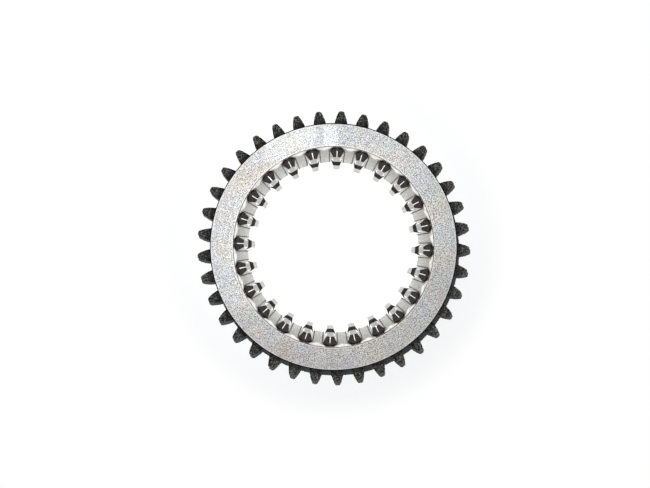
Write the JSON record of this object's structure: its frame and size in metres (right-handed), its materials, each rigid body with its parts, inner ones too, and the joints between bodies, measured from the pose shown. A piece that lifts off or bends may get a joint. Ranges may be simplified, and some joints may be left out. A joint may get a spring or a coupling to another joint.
{
  "type": "reverse gear",
  "caption": "Sliding reverse gear: a ring with straight outer teeth, a fork groove, a ground face flange and a splined bore with pointed teeth.",
  "frame": {"origin": "on the bore axis, in the bottom face", "axes": "+Z along the bore axis, towards the ground flange face; +X is to the right in the picture"},
  "size_m": [0.0974, 0.0974, 0.024],
  "materials": {
    "gear_steel": "Hardened steel: light ground flange face and bore lands, dark oiled outer teeth and tooth ends"
  },
  "bodies": {
    "root": {"reverse_gear": "gear_steel"}
  },
  "joints": []
}
